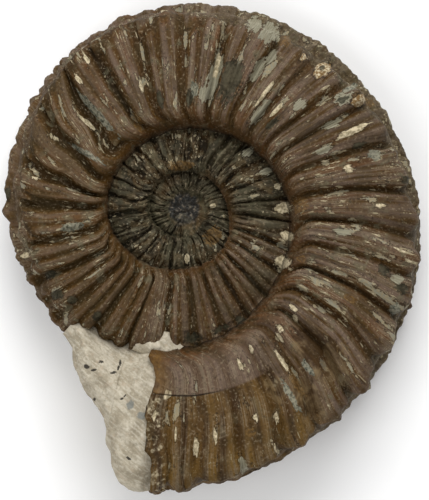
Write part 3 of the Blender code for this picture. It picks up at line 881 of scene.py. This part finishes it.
# A tongue of the same stone fills the seam behind the mouth and laps up between the rib ends. Its
# top has one height for each angle between the two crown radii, and falls off to both sides of them
# until the shell hides it.
TONGUE_TOP_MM = (
    (267, 16.2), (271, 17.3), (274, 17.9), (277.5, 18.5), (281, 18.3), (285, 17.9), (288, 17.5),
    (291, 16.2),
)
TONGUE_FROM_MM, TONGUE_TO_MM, TONGUE_DEPTH_MM = 22.6, 27.4, 1.6
CROWN_FROM_MM, CROWN_TO_MM = 25.6, 26.2
TONGUE_COLUMNS, TONGUE_ROWS = 90, 16
first, last = TONGUE_TOP_MM[0][0], TONGUE_TOP_MM[-1][0]
loops = []
for column in range(TONGUE_COLUMNS + 1):
    angle = first + (last - first) * column / TONGUE_COLUMNS
    turned = math.radians(angle)
    tops, bottoms = [], []
    for row in range(TONGUE_ROWS + 1):
        radius = TONGUE_FROM_MM + (TONGUE_TO_MM - TONGUE_FROM_MM) * row / TONGUE_ROWS
        place = Vector((-radius * math.cos(turned), radius * math.sin(turned), 0.0)) + Vector(COIL_PLACE_MM)
        place.z = line(TONGUE_TOP_MM, angle) + 0.35 * noise.fractal(place * 0.7, 1.0, 2.0, 4)
        place.z -= 0.35 * max(0.0, CROWN_FROM_MM - radius) + 0.8 * max(0.0, radius - CROWN_TO_MM)
        tops.append(stone_mesh.verts.new(place * MM))
        bottoms.append(stone_mesh.verts.new((place - Vector((0.0, 0.0, TONGUE_DEPTH_MM))) * MM))
    loops.append(tops + bottoms[::-1])
skin(loops)
bmesh.ops.triangulate(stone_mesh, faces=[f for f in stone_mesh.faces if len(f.verts) > 4])
bmesh.ops.recalc_face_normals(stone_mesh, faces=stone_mesh.faces[:])
stone_data = bpy.data.meshes.new("limestone")
stone_mesh.to_mesh(stone_data)
stone_mesh.free()
stone_data.shade_smooth()
stone = add_object("limestone", stone_data)

# Its finish: soft mottling, scratches that run slantwise, dark and pale grain, and warm blotches.
SCRATCH_TURN = 0.7
stone_finish = new_finish("limestone")
paints = stone_finish.node_tree
at = place_in_mm(paints)
inputs = {"Vector": at, "Angle": SCRATCH_TURN}
slanted = Wire.node(paints, "ShaderNodeVectorRotate", {"rotation_type": "Z_AXIS"}, inputs)
drawn = vector("MULTIPLY", slanted, (0.35, 2.2, 1.0))
mottle, grain = cloud(at, 0.35, 5.0), cloud(at, 2.4, 5.0)
scratches, blotches = cloud(drawn, 1.0, 5.0), cloud(at, 0.9, 4.0)
colour = paint(smooth(0.35, 0.65, mottle), rgb(150, 140, 120), rgb(180, 171, 152))
colour = paint(smooth(0.5, 0.62, scratches) * 0.5, colour, rgb(194, 187, 170))
colour = paint((1.0 - smooth(0.36, 0.46, scratches)) * 0.4, colour, rgb(134, 126, 108))
colour = paint(smooth(0.5, 0.7, grain) * 0.45, colour, rgb(126, 119, 102))
colour = paint((1.0 - smooth(0.30, 0.42, grain)) * 0.4, colour, rgb(208, 201, 184))
colour = paint(smooth(0.56, 0.68, blotches) * 0.3, colour, rgb(170, 150, 128))

# Small black marks and blue-grey spots in the stone's face: place, half length and width, and turn.
# A ray finds how high the face is there.
BLACK_MARKS_MM = (
    ((-23.1, -21.6), 0.55, 0.38, -30), ((-21.8, -22.2), 0.5, 0.24, 15), ((-20.5, -20.7), 0.55, 0.3, 0),
    ((-17.0, -20.9), 0.62, 0.24, 88), ((-17.3, -21.8), 0.5, 0.2, 75), ((-18.2, -22.7), 0.6, 0.26, 15),
    ((-16.1, -26.9), 0.4, 0.14, 50), ((-16.6, -27.4), 0.34, 0.2, 20), ((-21.7, -27.6), 0.3, 0.3, 0),
    ((-15.4, -38.3), 0.5, 0.25, -35),
)
BLUE_SPOTS_MM = (((-15.1, -28.5), 0.9, 0.7, 70), ((-13.0, -30.5), 0.9, 0.7, 0))
ABOVE_STONE_MM = 60.0
stone_surface = bvhtree.BVHTree.FromPolygons(
    [v.co / MM for v in stone_data.vertices], [f.vertices[:] for f in stone_data.polygons]
)
apart = Wire.node(paints, "ShaderNodeSeparateXYZ", None, {0: at})
ragged = (blotches - 0.5) * 1.5 + (cloud(at, 4.0, 3.0) - 0.5) * 2.5
for marks, shade, cover in (
    (BLUE_SPOTS_MM, rgb(112, 114, 109), 0.85),
    (BLACK_MARKS_MM, rgb(40, 36, 30), 0.95),
):
    nearest = None
    for (x, y), long, wide, turn in marks:
        cosine, sine = math.cos(math.radians(turn)), math.sin(math.radians(turn))
        east, north = apart - x, apart.also("Y") - y
        along, aside = (east * cosine + north * sine) / long, (north * cosine - east * sine) / wide
        face = stone_surface.ray_cast((x, y, ABOVE_STONE_MM), (0.0, 0.0, -1.0))[0]
        aloft = (apart.also("Z") - face.z) / (3.0 * long)
        off = along * along + aside * aside + aloft * aloft
        nearest = least(off, nearest) if nearest else off
    colour = paint((1.0 - smooth(0.5, 1.4, nearest + ragged)) * cover, colour, shade)
shader = paints.nodes["Principled BSDF"]
shader.inputs["Roughness"].default_value = 0.85
shader.inputs["Specular IOR Level"].default_value = 0.2
paints.links.new(colour.socket, shader.inputs["Base Color"])
relief = mottle + grain * 0.5 + scratches * 0.6
bump = Wire.node(paints, "ShaderNodeBump", None, {"Strength": 0.7, "Distance": 0.0003, "Height": relief})
paints.links.new(bump.socket, shader.inputs["Normal"])
stone_data.materials.append(stone_finish)
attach(stone, "root")
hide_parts("limestone_filling")

# Floor, light and camera. A pale floor, soft light from the top of the picture, and a long lens
# that looks straight down from about a metre.
FLOOR_HALF_SIZE = 2.0
floor_mesh = bmesh.new()
bmesh.ops.create_grid(floor_mesh, x_segments=1, y_segments=1, size=FLOOR_HALF_SIZE)
floor_data = bpy.data.meshes.new("pale_floor")
floor_mesh.to_mesh(floor_data)
floor_mesh.free()
floor_object = add_object("pale_floor", floor_data)
floor_finish = new_finish("pale_floor")
floor_shader = floor_finish.node_tree.nodes["Principled BSDF"]
floor_shader.inputs["Base Color"].default_value = (0.95, 0.95, 0.95, 1.0)
floor_shader.inputs["Roughness"].default_value = 0.9
floor_data.materials.append(floor_finish)

world = bpy.data.worlds.new("studio")
world.use_nodes = True
world.node_tree.nodes["Background"].inputs["Color"].default_value = (1.0, 1.0, 1.0, 1.0)
world.node_tree.nodes["Background"].inputs["Strength"].default_value = 0.47
bpy.context.scene.world = world
bpy.context.scene.view_settings.view_transform = "Standard"


def add_light(name, place, size, power):
    """A square soft light that faces the middle of the floor."""
    data = bpy.data.lights.new(name, "AREA")
    data.size, data.energy = size, power
    light = add_object(name, data)
    light.location = place
    light.rotation_euler = (-Vector(place)).to_track_quat("-Z", "Y").to_euler()


add_light("window", (0.1, 0.75, 0.65), 0.7, 9.2)
add_light("fill", (-0.4, -0.4, 0.9), 0.8, 4.2)

# The picture is 500 pixels high, and a pixel has its true size at the height of the seam, 14 mm up.
PIXEL, PICTURE_HEIGHT, OFF_CENTRE = 0.1837 * MM, 500.0, 1.5
CAMERA_HEIGHT, TRUE_SIZE_HEIGHT, SENSOR_HEIGHT = 1.2, 14 * MM, 24.0
camera_data = bpy.data.cameras.new("camera")
camera_data.sensor_fit = "VERTICAL"
camera_data.sensor_height = SENSOR_HEIGHT
camera_data.lens = SENSOR_HEIGHT * (CAMERA_HEIGHT - TRUE_SIZE_HEIGHT) / (PICTURE_HEIGHT * PIXEL)
camera_data.clip_end = 20.0
camera = add_object("camera", camera_data)
camera.location = (OFF_CENTRE * PIXEL, -OFF_CENTRE * PIXEL, CAMERA_HEIGHT)
bpy.context.scene.camera = camera
